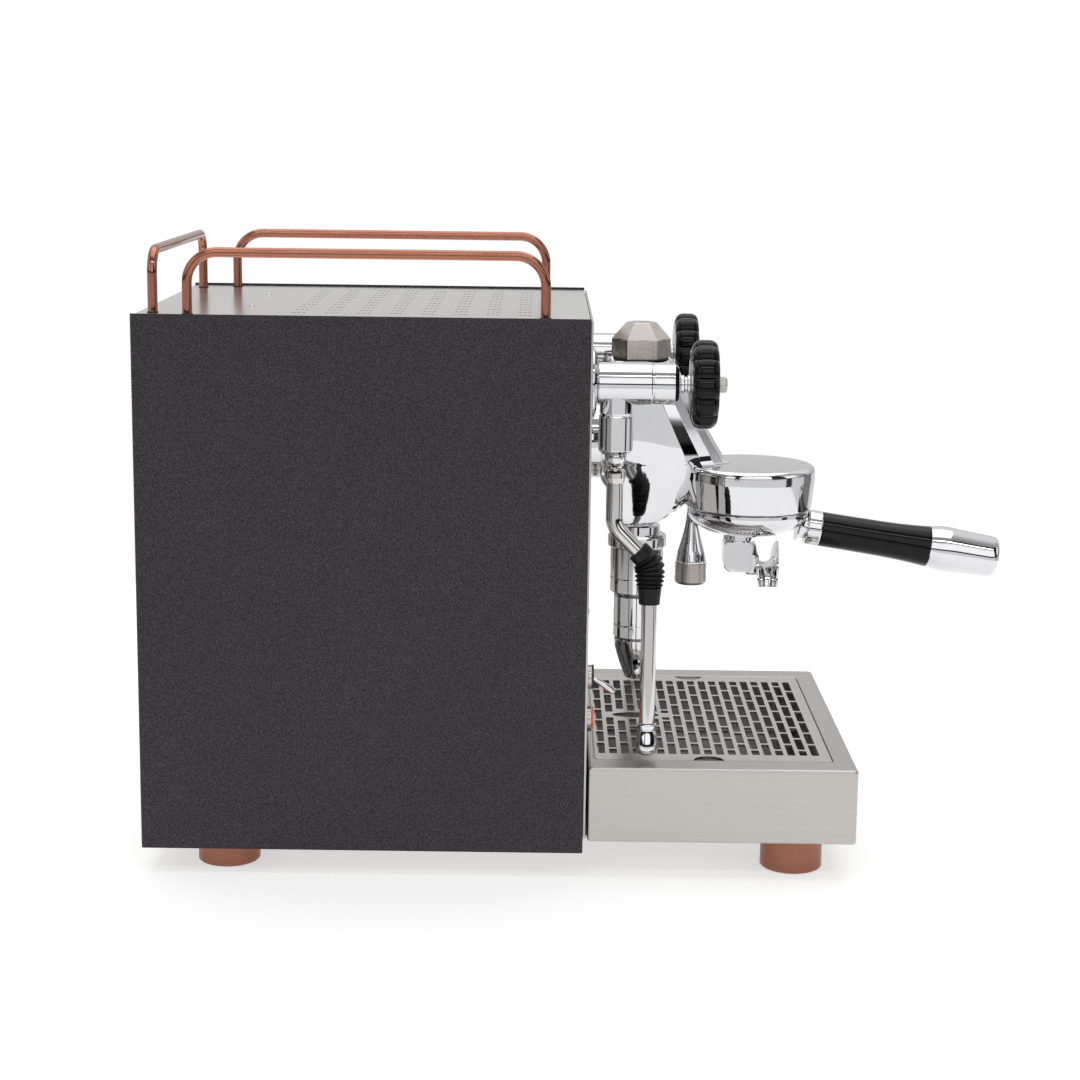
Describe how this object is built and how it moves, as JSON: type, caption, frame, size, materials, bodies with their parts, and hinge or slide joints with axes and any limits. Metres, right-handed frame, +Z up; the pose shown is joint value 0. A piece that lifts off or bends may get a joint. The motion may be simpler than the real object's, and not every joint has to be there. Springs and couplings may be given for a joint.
{
  "type": "espresso machine",
  "caption": "Compact lever-group espresso machine: dark housing, copper rails and feet, chromed brew group with portafilter, steam and water valves with jointed wands, and a sliding drip tray.",
  "frame": {"origin": "bottom centre of the whole machine's box, on the surface the feet stand on", "axes": "the front faces -Y, +X is the user's right, +Z is up"},
  "size_m": [0.25, 0.5501, 0.3873],
  "materials": {
    "anthracite_powder_coat": "fine metallic flake powder coat, satin",
    "polished_stainless": "bright polished",
    "brushed_stainless": "brushed",
    "copper_finish": "satin copper",
    "chrome_plate": "mirror",
    "satin_nickel": "satin",
    "black_gloss": "gloss",
    "black_rubber": "matte",
    "dark_plastic": "matte",
    "tank_plastic": "translucent",
    "brass_fitting": "satin",
    "amber_lens": "gloss"
  },
  "bodies": {
    "machine": {"base_plate": "brushed_stainless", "side_panel_left": "anthracite_powder_coat", "side_panel_right": "anthracite_powder_coat", "rear_panel": "brushed_stainless", "front_panel": "polished_stainless", "foot_front_left": "copper_finish", "foot_front_right": "copper_finish", "foot_rear_left": "copper_finish", "foot_rear_right": "copper_finish", "boiler": "brass_fitting", "heating_element": "polished_stainless", "pump": "dark_plastic", "control_box": "dark_plastic", "pressure_switch": "brass_fitting", "power_inlet": "dark_plastic", "steam_pipe": "copper_finish", "water_pipe": "copper_finish", "group_mount": "chrome_plate", "group_body": "chrome_plate", "group_cap": "satin_nickel", "group_gasket": "black_rubber", "shower_screen": "polished_stainless", "lower_chamber": "chrome_plate", "drain_valve": "chrome_plate", "drain_spout": "chrome_plate", "steam_valve_body": "chrome_plate", "water_valve_body": "chrome_plate", "steam_escutcheon": "chrome_plate", "water_escutcheon": "chrome_plate", "toggle_collar": "satin_nickel", "pilot_lamp": "amber_lens", "status_lamp": "copper_finish", "pressure_gauge": "satin_nickel"},
    "cup_tray": {"cup_tray_top": "polished_stainless", "rail_left": "copper_finish", "rail_right": "copper_finish", "rail_rear": "copper_finish"},
    "water_tank": {"water_tank": "tank_plastic"},
    "drip_tray": {"drip_tray": "brushed_stainless", "drip_grille": "polished_stainless"},
    "portafilter": {"portafilter_body": "chrome_plate", "filter_basket": "polished_stainless", "portafilter_spout": "chrome_plate", "handle_grip": "black_gloss", "handle_cap": "chrome_plate"},
    "brew_lever": {"lever_arm": "chrome_plate", "lever_handle": "brushed_stainless"},
    "steam_knob": {"steam_knob": "black_gloss", "steam_stem": "satin_nickel"},
    "water_knob": {"water_knob": "black_gloss", "water_stem": "satin_nickel"},
    "steam_swivel": {"steam_ball": "chrome_plate"},
    "steam_wand": {"steam_wand": "chrome_plate", "steam_boot": "black_rubber", "steam_tip": "chrome_plate"},
    "water_swivel": {"water_ball": "chrome_plate"},
    "water_wand": {"water_wand": "chrome_plate", "water_boot": "black_rubber", "water_tip": "chrome_plate"},
    "toggle": {"toggle_lever": "chrome_plate"}
  },
  "joints": [
    {"name": "cup_tray_lift", "type": "slide", "parent": "machine", "child": "cup_tray", "axis": [0, 0, 1], "range_m": [0, 0.08]},
    {"name": "water_tank_lift", "type": "slide", "parent": "machine", "child": "water_tank", "axis": [0, 0, 1], "range_m": [0, 0.08]},
    {"name": "drip_tray_slide", "type": "slide", "parent": "machine", "child": "drip_tray", "axis": [0, -1, 0], "range_m": [0, 0.16]},
    {"name": "portafilter_twist", "type": "hinge", "parent": "machine", "child": "portafilter", "pos_m": [0, -0.108, 0.215], "axis": [0, 0, -1], "range_deg": [0, 45]},
    {"name": "brew_lever_turn", "type": "hinge", "parent": "machine", "child": "brew_lever", "pos_m": [0.06, -0.043, 0.238], "axis": [-1, 0, 0], "range_deg": [0, 75]},
    {"name": "steam_knob_turn", "type": "hinge", "parent": "machine", "child": "steam_knob", "pos_m": [-0.092, -0.062, 0.3065], "axis": [0, -1, 0], "range_deg": [0, 540]},
    {"name": "water_knob_turn", "type": "hinge", "parent": "machine", "child": "water_knob", "pos_m": [0.092, -0.062, 0.3065], "axis": [0, -1, 0], "range_deg": [0, 540]},
    {"name": "steam_wand_swivel", "type": "hinge", "parent": "machine", "child": "steam_swivel", "pos_m": [-0.092, -0.0165, 0.261], "axis": [0, 0, -1], "range_deg": [-15, 70]},
    {"name": "steam_wand_tilt", "type": "hinge", "parent": "steam_swivel", "child": "steam_wand", "pos_m": [-0.092, -0.0165, 0.261], "axis": [-1, 0, 0], "range_deg": [0, 20]},
    {"name": "water_wand_swivel", "type": "hinge", "parent": "machine", "child": "water_swivel", "pos_m": [0.092, -0.0165, 0.261], "axis": [0, 0, 1], "range_deg": [-15, 70]},
    {"name": "water_wand_tilt", "type": "hinge", "parent": "water_swivel", "child": "water_wand", "pos_m": [0.092, -0.0165, 0.261], "axis": [-1, 0, 0], "range_deg": [0, 20]},
    {"name": "toggle_switch", "type": "hinge", "parent": "machine", "child": "toggle", "pos_m": [-0.092, 0.003, 0.121], "axis": [-1, 0, 0], "range_deg": [0, 22]}
  ]
}
